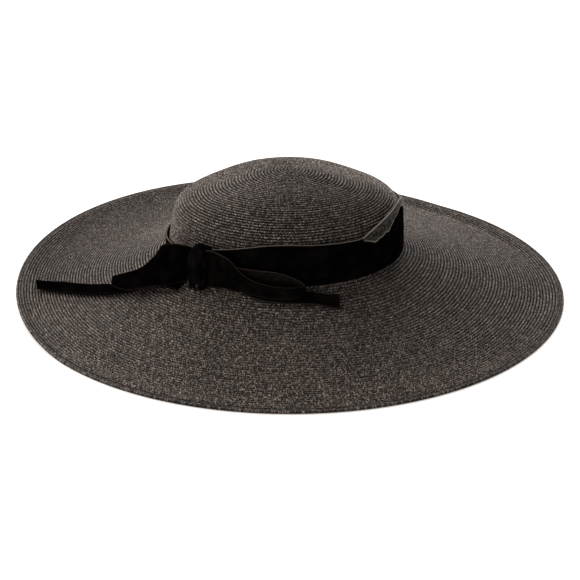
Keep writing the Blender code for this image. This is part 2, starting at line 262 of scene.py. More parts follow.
# %% The loft
def skin(name, rings, lower, upper, pace, along, closed_path=True, closed_round=True, poles=(), slots=None):
    """A mesh through rings (ring, point, xyz). A strip of quads between two rings has V from lower to upper,
    U of along times pace, and its own material slot. Poles close the first and the last ring to a point."""
    count, around = rings.shape[:2]
    strips = count if closed_path else count - 1
    steps = around if closed_round else around - 1
    lower, upper, pace = (np.broadcast_to(value, strips).astype(float) for value in (lower, upper, pace))
    i, j = np.arange(strips)[:, None], np.arange(steps)[None, :]
    here, after = i % count * around, (i + 1) % count * around
    quads = np.stack([here + j, here + (j + 1) % around, after + (j + 1) % around, after + j], -1)
    u = pace[:, None] * along[None, :]
    v_low, v_high = (np.broadcast_to(v[:, None], (strips, steps)) for v in (lower, upper))
    left, right = u[:, :steps], u[:, 1 : steps + 1]
    corners = ((left, v_low), (right, v_low), (right, v_high), (left, v_high))
    uv = np.stack([np.stack(corner, -1) for corner in corners], 2)
    points = rings.reshape(-1, 3).tolist()
    faces = quads.reshape(-1, 4).tolist()
    places = uv.reshape(-1, 2).tolist()
    slots = np.zeros((1, 1)) if slots is None else np.asarray(slots)
    kinds = np.broadcast_to(slots, (strips, steps)).astype(int).ravel().tolist()
    for pole, ring, flip in zip(poles, (0, count - 1), (True, False)):
        points.append(list(pole))
        strip = 0 if ring == 0 else strips - 1
        for k in range(around):
            pair = [ring * around + k, ring * around + (k + 1) % around]
            edge = [(u[strip, k], lower[strip]), (u[strip, k + 1], lower[strip])]
            if flip:
                pair.reverse()
                edge.reverse()
            faces.append([*pair, len(points) - 1])
            places += [*edge, (edge[0][0], lower[strip] + 1)]
            kinds.append(kinds[-1] if ring else kinds[0])
    if not closed_round:
        half = count // 2
        for end, turned in ((0, False), (around - 1, True)):
            for k in range(half):
                corners = [k, k + 1, count - k, (count - k + 1) % count]
                corners = list(dict.fromkeys(corner % count for corner in corners))
                if len(corners) < 3:
                    continue
                if turned:
                    corners.reverse()
                faces.append([corner * around + end for corner in corners])
                places += [(along[end], k / half)] * len(corners)
                kinds.append(0)
    mesh = bpy.data.meshes.new(name)
    mesh.from_pydata(points, [], faces)
    mesh.uv_layers.new(name="lay").data.foreach_set("uv", np.asarray(places, np.float32).ravel())
    mesh.polygons.foreach_set("material_index", kinds)
    mesh.shade_smooth()
    if volume(mesh) < 0:
        mesh.flip_normals()
    made = bpy.data.objects.new(name, mesh)
    bpy.context.scene.collection.objects.link(made)
    return made


# %% Volume and normals of a skin
def volume(mesh):
    """The volume that a closed mesh encloses, below 0 if its faces point inwards."""
    mesh.calc_loop_triangles()
    corners = np.empty(len(mesh.loop_triangles) * 3, np.int32)
    mesh.loop_triangles.foreach_get("vertices", corners)
    points = np.empty(len(mesh.vertices) * 3, np.float32)
    mesh.vertices.foreach_get("co", points)
    a, b, c = points.reshape(-1, 3)[corners].astype(float).reshape(-1, 3, 3).transpose(1, 0, 2)
    return float(np.einsum("ij,ij->i", a, np.cross(b, c)).sum() / 6)


TINY = 1e-12


def normals_of(grid, closed_round=True):
    """Unit normals of a grid of points (row, point, xyz)."""
    down = np.gradient(grid, axis=0)
    if closed_round:
        sideways = np.roll(grid, -1, 1) - np.roll(grid, 1, 1)
    else:
        sideways = np.gradient(grid, axis=1)
    normal = np.cross(sideways, down)
    return normal / np.maximum(np.linalg.norm(normal, axis=-1, keepdims=True), TINY)


# %% [markdown]
# ## One function for nodes, one for colours
# A node tree in a script is a list of nodes with values and links. One function adds a node, sets its
# properties, and fills its inputs with a value or a link. Colours are written as in any paint program,
# in sRGB hex, and turned to the linear numbers that shaders count in.


# %% Helpers for nodes
def add(tree, kind, inputs=None, **settings):
    """Adds a node. An input is a value, a socket to link, or a node whose first live output is linked."""
    node = tree.nodes.new(kind)
    for name, value in settings.items():
        setattr(node, name, value)
    for key, value in (inputs or {}).items():
        if isinstance(value, bpy.types.Node):
            value = next(socket for socket in value.outputs if socket.enabled)
        if isinstance(value, bpy.types.NodeSocket):
            tree.links.new(value, node.inputs[key])
        else:
            node.inputs[key].default_value = value
    return node


def bend_curve(node, points):
    """Draws a float curve node through points that run from 0 to 1."""
    curve = node.mapping.curves[0]
    curve.points[0].location = points[0]
    curve.points[1].location = points[-1]
    for point in points[1:-1]:
        curve.points.new(*point)
    node.mapping.update()


def linear(hex_colour):
    """The linear colour of an sRGB hex value."""
    parts = [int(hex_colour[i : i + 2], 16) / 255 for i in (1, 3, 5)]
    return (*[p / 12.92 if p <= 0.04045 else ((p + 0.055) / 1.055) ** 2.4 for p in parts], 1.0)


def new_material(name, finish):
    """A material whose shader has these constant values: its tree, its shader and the material itself."""
    material = bpy.data.materials.new(name)
    material.use_nodes = True
    tree = material.node_tree
    tree.nodes.clear()
    shader = add(tree, "ShaderNodeBsdfPrincipled", finish)
    add(tree, "ShaderNodeOutputMaterial", {"Surface": shader})
    return tree, shader, material


print("sRGB #808080 in linear light:", round(linear("#808080")[0], 3))

# %% [markdown]
# ## Lacquered straw plait
# Black hat braid is plaited from flat, split straws, dyed and lacquered. Each row shows two families of
# strands that cross at a slant, over and under, and each little crossing lies at its own angle, so some
# catch the light and most don't. That sparkle is what tells straw from cloth. The plait is drawn in UV
# space, where V counts the rows: two slanted counters give the strands, a chequer says which one lies
# on top, and white noise per crossing gives it its own tilt, tone and gloss. Most crossings are dark, and
# the rare light ones are painted glints, which stand in for the light they catch. Near each row's edges
# the colour is darkened with painted shade, the shade that falls in the grooves between rows. The real
# straws are finer.
# Here a strand is 1 mm wide along its row, and its bump is deep, as coarse as they need to be to show.

# %% The straw materials
CROWN_PITCH = 0.0025
BRIM_PITCH = 0.00275
PLAIT_LENGTH = 0.00100
ROW_START = 31.0
STRAND_DEPTH = 0.0013
ROUNDNESS = 0.45
# How rare the painted glints are: each crossing's own noise is raised to this power, so few get the light
# colour.
RARITY = 3.6
# Per metre: the tone drifts over patches of about 42 mm.
WEATHER_SCALE = 24.0
WEATHER_TONE = 0.12
GLOSSIEST = 0.28
DULLEST = 0.5
IN_GROOVES = 0.9
# Painted shade across a row, from its first edge (0) to its last (1): near 0 at the edges, where shade falls
# in the grooves between rows. The same curve also makes the grooves duller.
ROW_PAINTED_SHADE = ((0.0, 0.0), (0.2, 0.1), (0.42, 0.65), (0.62, 1.0), (0.86, 1.0), (1.0, 0.02))


def lacquered_straw(name, light, slant):
    """slant is how many strands a row is wide."""
    tree, shader, material = new_material(name, {"IOR": 1.5, "Specular IOR Level": 0.14})
    lay = add(tree, "ShaderNodeSeparateXYZ", {0: add(tree, "ShaderNodeUVMap", uv_map="lay")})
    row = add(tree, "ShaderNodeMath", {0: lay.outputs["Y"]}, operation="FLOOR")
    across = add(tree, "ShaderNodeMath", {0: lay.outputs["Y"]}, operation="FRACT")
    own_start = add(tree, "ShaderNodeTexWhiteNoise", {"W": row}, noise_dimensions="1D")
    start = add(tree, "ShaderNodeMath", {0: own_start.outputs["Value"], 1: ROW_START, 2: lay.outputs["X"]},
                operation="MULTIPLY_ADD")
    cells, sides, arches = [], [], []
    for lean in (slant, -slant):
        place = add(tree, "ShaderNodeMath", {0: across, 1: lean, 2: start}, operation="MULTIPLY_ADD")
        side = add(tree, "ShaderNodeMath", {0: place}, operation="FRACT")
        rest = add(tree, "ShaderNodeMath", {0: 1.0, 1: side}, operation="SUBTRACT")
        cells.append(add(tree, "ShaderNodeMath", {0: place}, operation="FLOOR"))
        sides.append(side)
        arches.append(add(tree, "ShaderNodeMath", {0: side, 1: rest}, operation="MULTIPLY"))
    both = add(tree, "ShaderNodeMath", {0: cells[0], 1: cells[1]}, operation="ADD")
    half = add(tree, "ShaderNodeMath", {0: both, 1: 0.5}, operation="MULTIPLY")
    chequer = add(tree, "ShaderNodeMath", {0: half}, operation="FRACT")
    over = add(tree, "ShaderNodeMath", {0: chequer, 1: 2.0}, operation="MULTIPLY")
    arch = add(tree, "ShaderNodeMix", {0: over, 2: arches[0], 3: arches[1]}, data_type="FLOAT")
    crossing = add(tree, "ShaderNodeCombineXYZ", {0: cells[0], 1: cells[1], 2: row})
    chance = add(tree, "ShaderNodeTexWhiteNoise", {"Vector": crossing}, noise_dimensions="3D")
    own = add(tree, "ShaderNodeSeparateColor", {0: chance.outputs["Color"]})
    leans = []
    for side, number in zip(sides, own.outputs):
        tilt = add(tree, "ShaderNodeMath", {0: number, 1: 0.5}, operation="SUBTRACT")
        leans.append(add(tree, "ShaderNodeMath", {0: tilt, 1: side}, operation="MULTIPLY"))
    lean = add(tree, "ShaderNodeMath", {0: leans[0], 1: leans[1]}, operation="ADD")
    rise = add(tree, "ShaderNodeMath", {0: arch, 1: ROUNDNESS, 2: lean}, operation="MULTIPLY_ADD")
    bump = add(tree, "ShaderNodeBump", {"Strength": 1.0, "Distance": STRAND_DEPTH, "Height": rise})
    where = add(tree, "ShaderNodeTexCoord")
    weather = add(tree, "ShaderNodeTexNoise",
                  {"Vector": where.outputs["Object"], "Scale": WEATHER_SCALE, "Detail": 3.0})
    # Painted glints: the rare crossings whose noise is high get the light colour, which stands in for the
    # light they catch.
    painted_glint = add(tree, "ShaderNodeMath", {0: own.outputs[2], 1: RARITY}, operation="POWER")
    common = add(tree, "ShaderNodeMath", {0: weather.outputs[0], 1: WEATHER_TONE, 2: painted_glint},
                 operation="MULTIPLY_ADD")
    groove_painted_shade = add(tree, "ShaderNodeFloatCurve", {"Value": across})
    bend_curve(groove_painted_shade, ROW_PAINTED_SHADE)
    # Painted shade: the tone is darkened towards the row's edges.
    tone = add(tree, "ShaderNodeMath", {0: common, 1: groove_painted_shade}, operation="MULTIPLY", use_clamp=True)
    colour = add(tree, "ShaderNodeMix", {0: tone, 6: linear("#080504"), 7: linear(light)}, data_type="RGBA")
    gloss = add(tree, "ShaderNodeMapRange", {0: own.outputs[1], 3: GLOSSIEST, 4: DULLEST})
    dulled = add(tree, "ShaderNodeMix", {0: groove_painted_shade, 2: IN_GROOVES, 3: gloss}, data_type="FLOAT")
    tree.links.new(colour.outputs["Result"], shader.inputs["Base Color"])
    tree.links.new(dulled.outputs[0], shader.inputs["Roughness"])
    tree.links.new(bump.outputs[0], shader.inputs["Normal"])
    return material


# Each straw's light colour is that of its painted glints. The real drift of tone between patches reaches only
# a small part of it.
straw_crown = lacquered_straw("black lacquered straw plait, crown", "#BDAFA4", CROWN_PITCH / PLAIT_LENGTH)
straw_brim = lacquered_straw("black lacquered straw plait, brim", "#B9ABA0", BRIM_PITCH / PLAIT_LENGTH)
straw_edge = lacquered_straw("black lacquered straw plait, doubled edge", "#94877E", 1.0)
print("straw materials:", straw_crown.name, "/", straw_brim.name, "/", straw_edge.name)

# %% [markdown]
# ## Black silk velvet and its satin reverse
# Velvet is a dense pile that swallows light: seen straight on it is the blackest thing in the picture,
# and only where the pile is seen from the side, at a fold, does it glow a little. So it has almost no
# gloss, a touch of warm sheen, and a pile that lies slightly differently from place to place. The
# ribbon's woven edges carry no pile and show as thin paler lines, and along the band's fold, where its
# top turns over, a paler line is painted highlight. Its back is a plain dull satin with fine threads
# along the ribbon. The same velvet comes in lit and shaded copies, with their own tones at the band, at
# each side of the bow and at the knot: painted shade on the bow's left, painted light on its right and on
# the knot, for how the light falls there. Inside the bow the satin back is a darker copy, in painted
# shade. Tufts of under half a millimetre and ribs of the same width are coarser than the real pile and
# threads, so that they can show.

# %% The ribbon materials
PILE_LENGTH = 0.0005
# Per metre: a tuft is 0.45 mm wide, a patch where the pile lies alike 11 mm, and a slub in the satin 3 mm.
NAP_SCALE = 2200.0
LIE_SCALE = 90.0
SLUB_SCALE = 330.0
RIB_DEPTH = 0.0001
# Across the ribbon's 48 mm, so a rib is just under half a millimetre wide.
RIBS_ACROSS = 620.0 / (2 * math.pi)
LINE_SHARE_HEM_OR_FOLD = 0.020
HEMS = (0.0, 1.0)
# Where the band's fold lies across the ribbon: a pale line of painted highlight runs along it, on the velvet
# and on the satin.
FOLD_PLACE = 0.765


def hem_and_fold_lines(tree, across, places):
    """1 on thin lines at these places across the ribbon, and 0 elsewhere: its woven edges, or the painted
    highlight along the band's fold.
    """
    found = 0.0
    for place in places:
        near = add(tree, "ShaderNodeMath", {0: across, 1: place, 2: LINE_SHARE_HEM_OR_FOLD}, operation="COMPARE")
        found = add(tree, "ShaderNodeMath", {0: near, 1: found}, operation="MAXIMUM")
    return found


def ribbon_side(name, finish, scale, spread, tones, places):
    """A side of the ribbon: soft patches of two tones, and a third on thin lines at some places, which are
    woven edges or the painted highlight of a fold. Gives its tree, shader and material, and the sockets for
    the place on the piece and across the ribbon."""
    tree, shader, material = new_material(name, finish)
    low, high, edge_or_fold_tone = (linear(tone) for tone in tones)
    where = add(tree, "ShaderNodeTexCoord").outputs["Object"]
    across = add(tree, "ShaderNodeSeparateXYZ", {0: add(tree, "ShaderNodeUVMap", uv_map="lay")}).outputs["Y"]
    noise = add(tree, "ShaderNodeTexNoise", {"Vector": where, "Scale": scale, "Detail": 3.0})
    patches = add(tree, "ShaderNodeMapRange", {0: noise.outputs[0], 1: spread[0], 2: spread[1]})
    cloth = add(tree, "ShaderNodeMix", {0: patches, 6: low, 7: high}, data_type="RGBA")
    lines = hem_and_fold_lines(tree, across, places)
    colour = add(tree, "ShaderNodeMix", {0: lines, 6: cloth.outputs["Result"], 7: edge_or_fold_tone}, data_type="RGBA")
    tree.links.new(colour.outputs["Result"], shader.inputs["Base Color"])
    return tree, shader, material, where, across


def silk_velvet(name, tones, places):
    """The tones are those of pile along the light and against it, and of the lines: woven edges without pile,
    or the painted highlight of a fold.
    """
    finish = {
        "Roughness": 0.9,
        "Specular IOR Level": 0.0,
        "Sheen Weight": 0.001,
        "Sheen Roughness": 0.35,
        "Sheen Tint": linear("#C9A68C"),
    }
    tree, shader, material, where, _ = ribbon_side(name, finish, LIE_SCALE, (0.42, 0.72), tones, places)
    nap = add(tree, "ShaderNodeTexNoise", {"Vector": where, "Scale": NAP_SCALE, "Detail": 2.0})
    bump = add(tree, "ShaderNodeBump", {"Strength": 0.6, "Distance": PILE_LENGTH / 4, "Height": nap})
    tree.links.new(bump.outputs[0], shader.inputs["Normal"])
    return material


def satin_reverse(name, tones, places):
    """The tones are those of the cloth at its darkest and lightest, and of the lines: woven edges, or the
    painted highlight of a fold.
    """
    finish = {"Roughness": 0.5, "Specular IOR Level": 0.12}
    tree, shader, material, _, across = ribbon_side(name, finish, SLUB_SCALE, (0.38, 0.62), tones, places)
    turns = add(tree, "ShaderNodeMath", {0: across, 1: RIBS_ACROSS * 2 * math.pi}, operation="MULTIPLY")
    ribs = add(tree, "ShaderNodeMath", {0: turns}, operation="SINE")
    bump = add(tree, "ShaderNodeBump", {"Strength": 0.5, "Distance": RIB_DEPTH, "Height": ribs})
    tree.links.new(bump.outputs[0], shader.inputs["Normal"])
    return material


# Lit and shaded copies of one velvet: painted shade on the left of the bow, painted light on its right and on
# the knot, with their woven edges toned to match.
velvet_band = silk_velvet("black silk velvet, band", ("#050404", "#110E0D", "#5E5751"), (FOLD_PLACE,))
velvet_left_shaded = silk_velvet("black silk velvet, left of the bow", ("#030202", "#080606", "#14100E"), HEMS)
velvet_right_lit = silk_velvet("black silk velvet, right of the bow", ("#070606", "#15120F", "#2A2522"), HEMS)
velvet_knot_lit = silk_velvet("black silk velvet, knot", ("#050405", "#141110", "#141110"), ())
satin = satin_reverse("satin back of the velvet ribbon", ("#171513", "#433E39", "#837A72"),
                      (FOLD_PLACE, HEMS[1]))
# A darker copy of the satin back, in painted shade, for the insides of the loops.
satin_shaded_inside = satin_reverse("satin back, inside the bow", ("#050302", "#150E0A", "#332A24"), HEMS)
print("ribbon materials:", velvet_band.name, "/", velvet_left_shaded.name, "/", satin.name)

# %% [markdown]
# ## Camera, light and floor
# The photograph is a studio shot on white, from the front and about 27 degrees above. A long lens from
# two metres away gives the same slight foreshortening. The walls of a light tent glow where lamps stand
# behind them: most of all behind the hat and to its left, which makes the braid's rows and the back of
# the brim shine, and a little at the front left. Each glow falls off softly from its middle. The hat
# stands on a white table top that is lit from below, so its shadow stays faint.

# %% The camera
VIEW_ELEVATION = 26.6
VIEW_DISTANCE = 2.043
PHOTO_FOCAL = 2369.5
PHOTO_SIDE = 580
SENSOR = 36.0
AIM = np.array([-0.0001, 0.0, 0.0013])

scene = bpy.context.scene
camera_data = bpy.data.cameras.new("photo camera")
camera_data.sensor_width = SENSOR
camera_data.lens = PHOTO_FOCAL / PHOTO_SIDE * SENSOR
camera = bpy.data.objects.new("photo camera", camera_data)
elevation = math.radians(VIEW_ELEVATION)
camera.location = AIM + VIEW_DISTANCE * np.array([0, -math.cos(elevation), math.sin(elevation)])
camera.rotation_euler = (math.pi / 2 - elevation, 0, 0)
scene.collection.objects.link(camera)
scene.camera = camera
print("lens", round(camera_data.lens, 1), "mm at", np.round(camera.location, 3).tolist())

# %% The light
GLOWS = (
    # azimuth and elevation of the middle of the glow, strength
    (90, 18, 1.6),
    (135, 18, 3.3),
    (225, 18, 1.7),
    (90, 52, 4.1),
    (170, 52, 1.8),
)
GLOW_FOCUS = 10.0

scene.view_settings.view_transform = "Standard"
world = bpy.data.worlds.new("light tent")
world.use_nodes = True
sky = world.node_tree
sky.nodes.clear()
where = add(sky, "ShaderNodeTexCoord")
total = add(sky, "ShaderNodeValue")
total.outputs[0].default_value = 0.0
for azimuth, height, strength in GLOWS:
    turn, tilt = math.radians(azimuth), math.radians(height)
    middle = (math.cos(turn) * math.cos(tilt), math.sin(turn) * math.cos(tilt), math.sin(tilt))
    facing = add(sky, "ShaderNodeVectorMath", {0: where.outputs["Generated"], 1: middle},
                 operation="DOT_PRODUCT")
    front = add(sky, "ShaderNodeMath", {0: facing.outputs["Value"], 1: 0.0}, operation="MAXIMUM")
    glow = add(sky, "ShaderNodeMath", {0: front, 1: GLOW_FOCUS}, operation="POWER")
    total = add(sky, "ShaderNodeMath", {0: glow, 1: strength, 2: total}, operation="MULTIPLY_ADD")
tent = add(sky, "ShaderNodeBackground", {"Color": linear("#FFFAF7"), "Strength": total})
white = add(sky, "ShaderNodeBackground", {"Color": (1, 1, 1, 1), "Strength": 1.0})
path = add(sky, "ShaderNodeLightPath")
mixed = add(sky, "ShaderNodeMixShader", {0: path.outputs["Is Camera Ray"], 1: tent, 2: white})
add(sky, "ShaderNodeOutputWorld", {"Surface": mixed})
scene.world = world
print("soft glows:", len(GLOWS), "of summed strength", round(sum(strength for *_, strength in GLOWS), 2))

# %% The floor
FLOOR_REACH = 3.0
TABLE_GLOW = 0.45

floor_corners = [(x * FLOOR_REACH, y * FLOOR_REACH, 0) for x, y in ((-1, -1), (1, -1), (1, 1), (-1, 1))]
floor_mesh = bpy.data.meshes.new("floor")
floor_mesh.from_pydata(floor_corners, [], [(0, 1, 2, 3)])
floor = bpy.data.objects.new("floor", floor_mesh)
scene.collection.objects.link(floor)
*_, table = new_material("white acrylic table top, lit from below", {
    "Base Color": linear("#FAFAFA"),
    "Emission Color": linear("#FFFAF4"),
    "Emission Strength": TABLE_GLOW,
    "Roughness": 0.9,
    "Specular IOR Level": 0.1,
})
floor_mesh.materials.append(table)
print("the floor is", 2 * FLOOR_REACH, "m square:", table.name)

# %% [markdown]
# ## Sewn rows
# On the real hat each row of braid overlaps the one before, and a machine stitch holds it there, so the
# surface is a fine staircase of rounded steps, 2.5 mm each on the crown and 2.75 mm on the brim. That is
# a rule on a surface, so Geometry Nodes make it: each point of the smooth sheet carries the number of its
# row, a curve says how high a row stands from its first edge to its last, and the point sinks along its
# normal by what is missing. The grid's lines run along the rows, six to a row, so that grooves stay sharp.

# %% The tree that sews rows
ROW_PROFILE = ((0.0, 0.0), (0.17, 0.45), (0.33, 0.7), (0.5, 0.88), (0.67, 1.0), (0.83, 0.95), (1.0, 0.0))
ROW_RELIEF = 0.00110
UNEVENNESS = 0.25
# Per metre: the rows sink and swell over about 17 mm.
UNEVEN_SCALE = 60.0
UNEVEN_SEED = 3.7


def sewn_rows(name):
    """The tree. Its attribute row counts the rows, and sewn says how much of the relief a point gets."""
    tree = bpy.data.node_groups.new(name, "GeometryNodeTree")
    for title, kind in (
        ("Geometry", "NodeSocketGeometry"),
        ("Relief", "NodeSocketFloat"),
        ("Unevenness", "NodeSocketFloat"),
        ("Straw", "NodeSocketMaterial"),
    ):
        tree.interface.new_socket(title, in_out="INPUT", socket_type=kind)
    tree.interface.new_socket("Geometry", in_out="OUTPUT", socket_type="NodeSocketGeometry")
    given = add(tree, "NodeGroupInput")
    row = add(tree, "GeometryNodeInputNamedAttribute", {"Name": "row"}, data_type="FLOAT")
    sewn = add(tree, "GeometryNodeInputNamedAttribute", {"Name": "sewn"}, data_type="FLOAT")
    across = add(tree, "ShaderNodeMath", {0: row}, operation="FRACT")
    profile = add(tree, "ShaderNodeFloatCurve", {"Value": across})
    bend_curve(profile, ROW_PROFILE)
    sunk = add(tree, "ShaderNodeMath", {0: 1.0, 1: profile}, operation="SUBTRACT")
    uneven = add(tree, "ShaderNodeTexNoise", {"Scale": UNEVEN_SCALE, "Detail": 1.0, "W": UNEVEN_SEED},
                 noise_dimensions="4D")
    spread = add(tree, "ShaderNodeMath", {0: uneven, 1: given.outputs["Unevenness"]}, operation="MULTIPLY")
    depth = add(tree, "ShaderNodeMath", {0: sunk, 1: spread}, operation="ADD")
    depth = add(tree, "ShaderNodeMath", {0: depth, 1: sewn}, operation="MULTIPLY")
    depth = add(tree, "ShaderNodeMath", {0: depth, 1: given.outputs["Relief"]}, operation="MULTIPLY")
    inward = add(tree, "ShaderNodeMath", {0: depth, 1: -1.0}, operation="MULTIPLY")
    normal = add(tree, "GeometryNodeInputNormal")
    offset = add(tree, "ShaderNodeVectorMath", {0: normal, 3: inward}, operation="SCALE")
    moved = add(tree, "GeometryNodeSetPosition", {"Geometry": given.outputs["Geometry"], "Offset": offset})
    real = add(tree, "GeometryNodeRealizeInstances", {"Geometry": moved})
    dressed = add(tree, "GeometryNodeSetMaterial", {"Geometry": real, "Material": given.outputs["Straw"]})
    add(tree, "NodeGroupOutput", {"Geometry": dressed})
    return tree


def apply_tree(piece, tree, **inputs):
    """Runs a tree on a piece with these inputs and keeps the result as its plain mesh."""
    modifier = piece.modifiers.new(tree.name, "NODES")
    modifier.node_group = tree
    for socket in tree.interface.items_tree:
        if socket.in_out == "INPUT" and socket.name in inputs:
            modifier[socket.identifier] = inputs[socket.name]
    plain = bpy.data.meshes.new_from_object(piece.evaluated_get(bpy.context.evaluated_depsgraph_get()))
    plain.name = piece.name
    piece.modifiers.clear()
    piece.data = plain
    print(piece.name, "has", sum(len(face.vertices) - 2 for face in plain.polygons), "triangles")


sewing = sewn_rows("sewn rows")
print("the tree has", len(sewing.nodes), "nodes")

# %% [markdown]
# ## The crown
# The crown starts at the middle of its top with a tiny coil and grows row by row down to the foot. Rows
# of equal width along the section are found by measuring it: the arc length from the top gives each row
# its place. The inside follows the outside at the straw's thickness, and shows the same rows, flatter.

# %% The rows' places
AROUND = 220
POINTS_PER_ROW = 6
DRIFT_WAVES = (2, 3, 5, 9, 14)
DRIFT_STEP = 0.5
ROUNDING = 1e-6

rng = np.random.default_rng(11)
azimuths = np.arange(AROUND) * 360 / AROUND
along_round = np.arange(AROUND + 1) / AROUND
mean_half = (CROWN_LENGTH + CROWN_WIDTH) / 4
section = np.stack([SECTION_RADIUS * mean_half, SECTION_HEIGHT * CROWN_HEIGHT], -1)
arc = np.concatenate([[0], np.cumsum(np.linalg.norm(np.diff(section, axis=0), axis=1))])
crown_rows = round(arc[-1] / CROWN_PITCH)


def wander(rows, at, size, calm):
    """Slow random drift of the rows, in rows, at these places along them. It is closed round the hat and dies
    out over the calm rows at either end."""
    counts = np.arange(rows + 1)
    drift = np.zeros((rows + 1, AROUND))
    for waves in DRIFT_WAVES:
        phase = np.cumsum(rng.normal(0, DRIFT_STEP, rows + 1)) + rng.uniform(0, 2 * math.pi)
        drift += np.cos(waves * np.radians(azimuths)[None, :] + phase[:, None]) / waves**0.5
    drift = drift * size * np.minimum(np.minimum(counts, rows - counts) / calm, 1)[:, None]
    return np.stack([np.interp(at, counts, column) for column in drift.T], -1)


def plaits_round(rings, numbers, after):
    """How many plaits go round in the row of each strip of quads."""
    perimeter = np.linalg.norm(np.diff(np.concatenate([rings, rings[:, :1]], 1), axis=1), axis=-1).sum(1)
    ring_row = np.floor(numbers + ROUNDING)
    strip_row = np.floor(np.minimum(numbers[: len(after)], after) + ROUNDING)
    lengths = np.array([perimeter[ring_row == row].mean() for row in strip_row])
    return np.maximum(np.round(lengths / PLAIT_LENGTH), 1)


def mark(piece, name, per_ring, extra=()):
    """Gives each point of a piece the value of its ring, as an attribute that a tree can read."""
    values = np.concatenate([np.repeat(per_ring, AROUND), extra]).astype(np.float32)
    piece.data.attributes.new(name, "FLOAT", "POINT").data.foreach_set("value", values)


print("the crown's section is", round(arc[-1] * 1000, 1), "mm long:", crown_rows, "rows")

# %% The crown's braid
CROWN_DRIFT = 0.09
CROWN_CALM = 4
SHOULDER_SHARE = 0.55
TOP_RELIEF = 0.5
POLE_RELIEF = 0.1
INSIDE_RELIEF = 0.12


def crown_rings(row_numbers, drift):
    """Rings at these places, in rows up from the foot."""
    shares = np.clip((row_numbers[:, None] + drift) / crown_rows, 0, 1)
    return crown_point(azimuths[None, :], np.interp(shares * arc[-1], arc, SECTION_ANGLES))


outer_rows = np.arange(crown_rows * POINTS_PER_ROW) / POINTS_PER_ROW
inner_rows = np.arange(crown_rows).astype(float)
drift = wander(crown_rows, outer_rows, CROWN_DRIFT, CROWN_CALM)
outer = crown_rings(outer_rows, drift)
inner = crown_rings(inner_rows, drift[::POINTS_PER_ROW])
outside = normals_of(inner)
outside *= np.sign((outside[:, :, :2] * inner[:, :, :2]).sum(-1).mean())
inner = inner - outside * STRAW_WALL
inner[0, :, 2] = FOOT_HEIGHT + GAP
top = crown_point(0.0, 90.0)
rings = np.concatenate([outer[::-1], inner])
numbers = np.concatenate([outer_rows[::-1], inner_rows])
plaits = plaits_round(rings, numbers, numbers[1:])
crown = skin("crown_straw_braid", rings, numbers[:-1], numbers[1:], plaits, along_round, closed_path=False,
             poles=(top, top - [0, 0, STRAW_WALL]))
shoulder = SHOULDER_SHARE * crown_rows
sewn_outside = np.interp(outer_rows[::-1], (0, 1, shoulder, crown_rows), (0, 1, 1, TOP_RELIEF))
sewn_inside = np.full(len(inner_rows), INSIDE_RELIEF)
mark(crown, "row", numbers, (0, 0))
mark(crown, "sewn", np.concatenate([sewn_outside, sewn_inside]), (POLE_RELIEF, POLE_RELIEF))
apply_tree(crown, sewing, Relief=ROW_RELIEF, Unevenness=UNEVENNESS, Straw=straw_crown)

# %% [markdown]
# ## The brim
# The brim goes on where the crown stops: some fifty rows, out to the edge. Its inner end turns up as a
# small collar inside the crown's foot, where the two are sewn together. Top and underside are one closed
# skin, with the finer grid on top: six lines to a row there and two below.

# %% The brim's braid
COLLAR_HEIGHT = 0.008
UNDER_POINTS = 2
BRIM_DRIFT = 0.10
BRIM_CALM = 3

brim_width = float(np.linalg.norm(np.diff(brim_point(0.0, np.linspace(0, 1, 50)), axis=0), axis=1).sum())
brim_rows = round(brim_width / BRIM_PITCH)
collar_rows = round(COLLAR_HEIGHT / BRIM_PITCH)
print("the brim is", round(brim_width * 1000, 1), "mm wide:", brim_rows, "rows, and", collar_rows,
      "in the collar")

top_rows = np.arange(brim_rows * POINTS_PER_ROW + 1) / POINTS_PER_ROW
under_rows = np.arange(brim_rows * UNDER_POINTS + 1) / UNDER_POINTS
drift = wander(brim_rows, top_rows, BRIM_DRIFT, BRIM_CALM)
flat = brim_point(azimuths[None, :], (top_rows[:, None] + drift) / brim_rows)
up = normals_of(flat)
up *= np.sign(up[..., 2].mean())
collar_rings = collar_rows * UNDER_POINTS
collar_up = np.arange(collar_rings, 0, -1) / collar_rings * COLLAR_HEIGHT
collar_out = -(STRAW_WALL + GAP)
collar, collar_in = (
    off_wall(azimuths[None, :], wall_share(collar_up)[:, None], out, collar_up[:, None])
    for out in (collar_out, collar_out - STRAW_WALL)
)
flat[0] = off_wall(azimuths, 1.0, collar_out, 0.0)
under = (flat - up * STRAW_WALL)[:: POINTS_PER_ROW // UNDER_POINTS]
under[0] = off_wall(azimuths, 1.0, collar_out - STRAW_WALL, -STRAW_WALL / 2)
rings = np.concatenate([collar, flat, under[::-1], collar_in[::-1]])
collar_numbers = -np.arange(collar_rings, 0, -1) / UNDER_POINTS
numbers = np.concatenate([collar_numbers, top_rows, under_rows[::-1], collar_numbers[::-1]])
after = np.roll(numbers, -1)
brim = skin("brim_straw_braid", rings, numbers, after, plaits_round(rings, numbers, after), along_round)
sewn_below = np.full(len(under) + len(collar), INSIDE_RELIEF)
mark(brim, "row", numbers - numbers.min())
mark(brim, "sewn", np.concatenate([np.zeros(len(collar)), np.minimum(top_rows, 1), sewn_below]))
apply_tree(brim, sewing, Relief=ROW_RELIEF, Unevenness=UNEVENNESS, Straw=straw_brim)

# %% [markdown]
# ## The doubled edge
# The last row is turned back on itself and sewn down twice, which stiffens the edge and stops the braid
# from unravelling. It shows as a thicker cord with a few fine ridges. Its section is a small flattened
# oval whose upper side is scalloped, swept round the brim's outline.

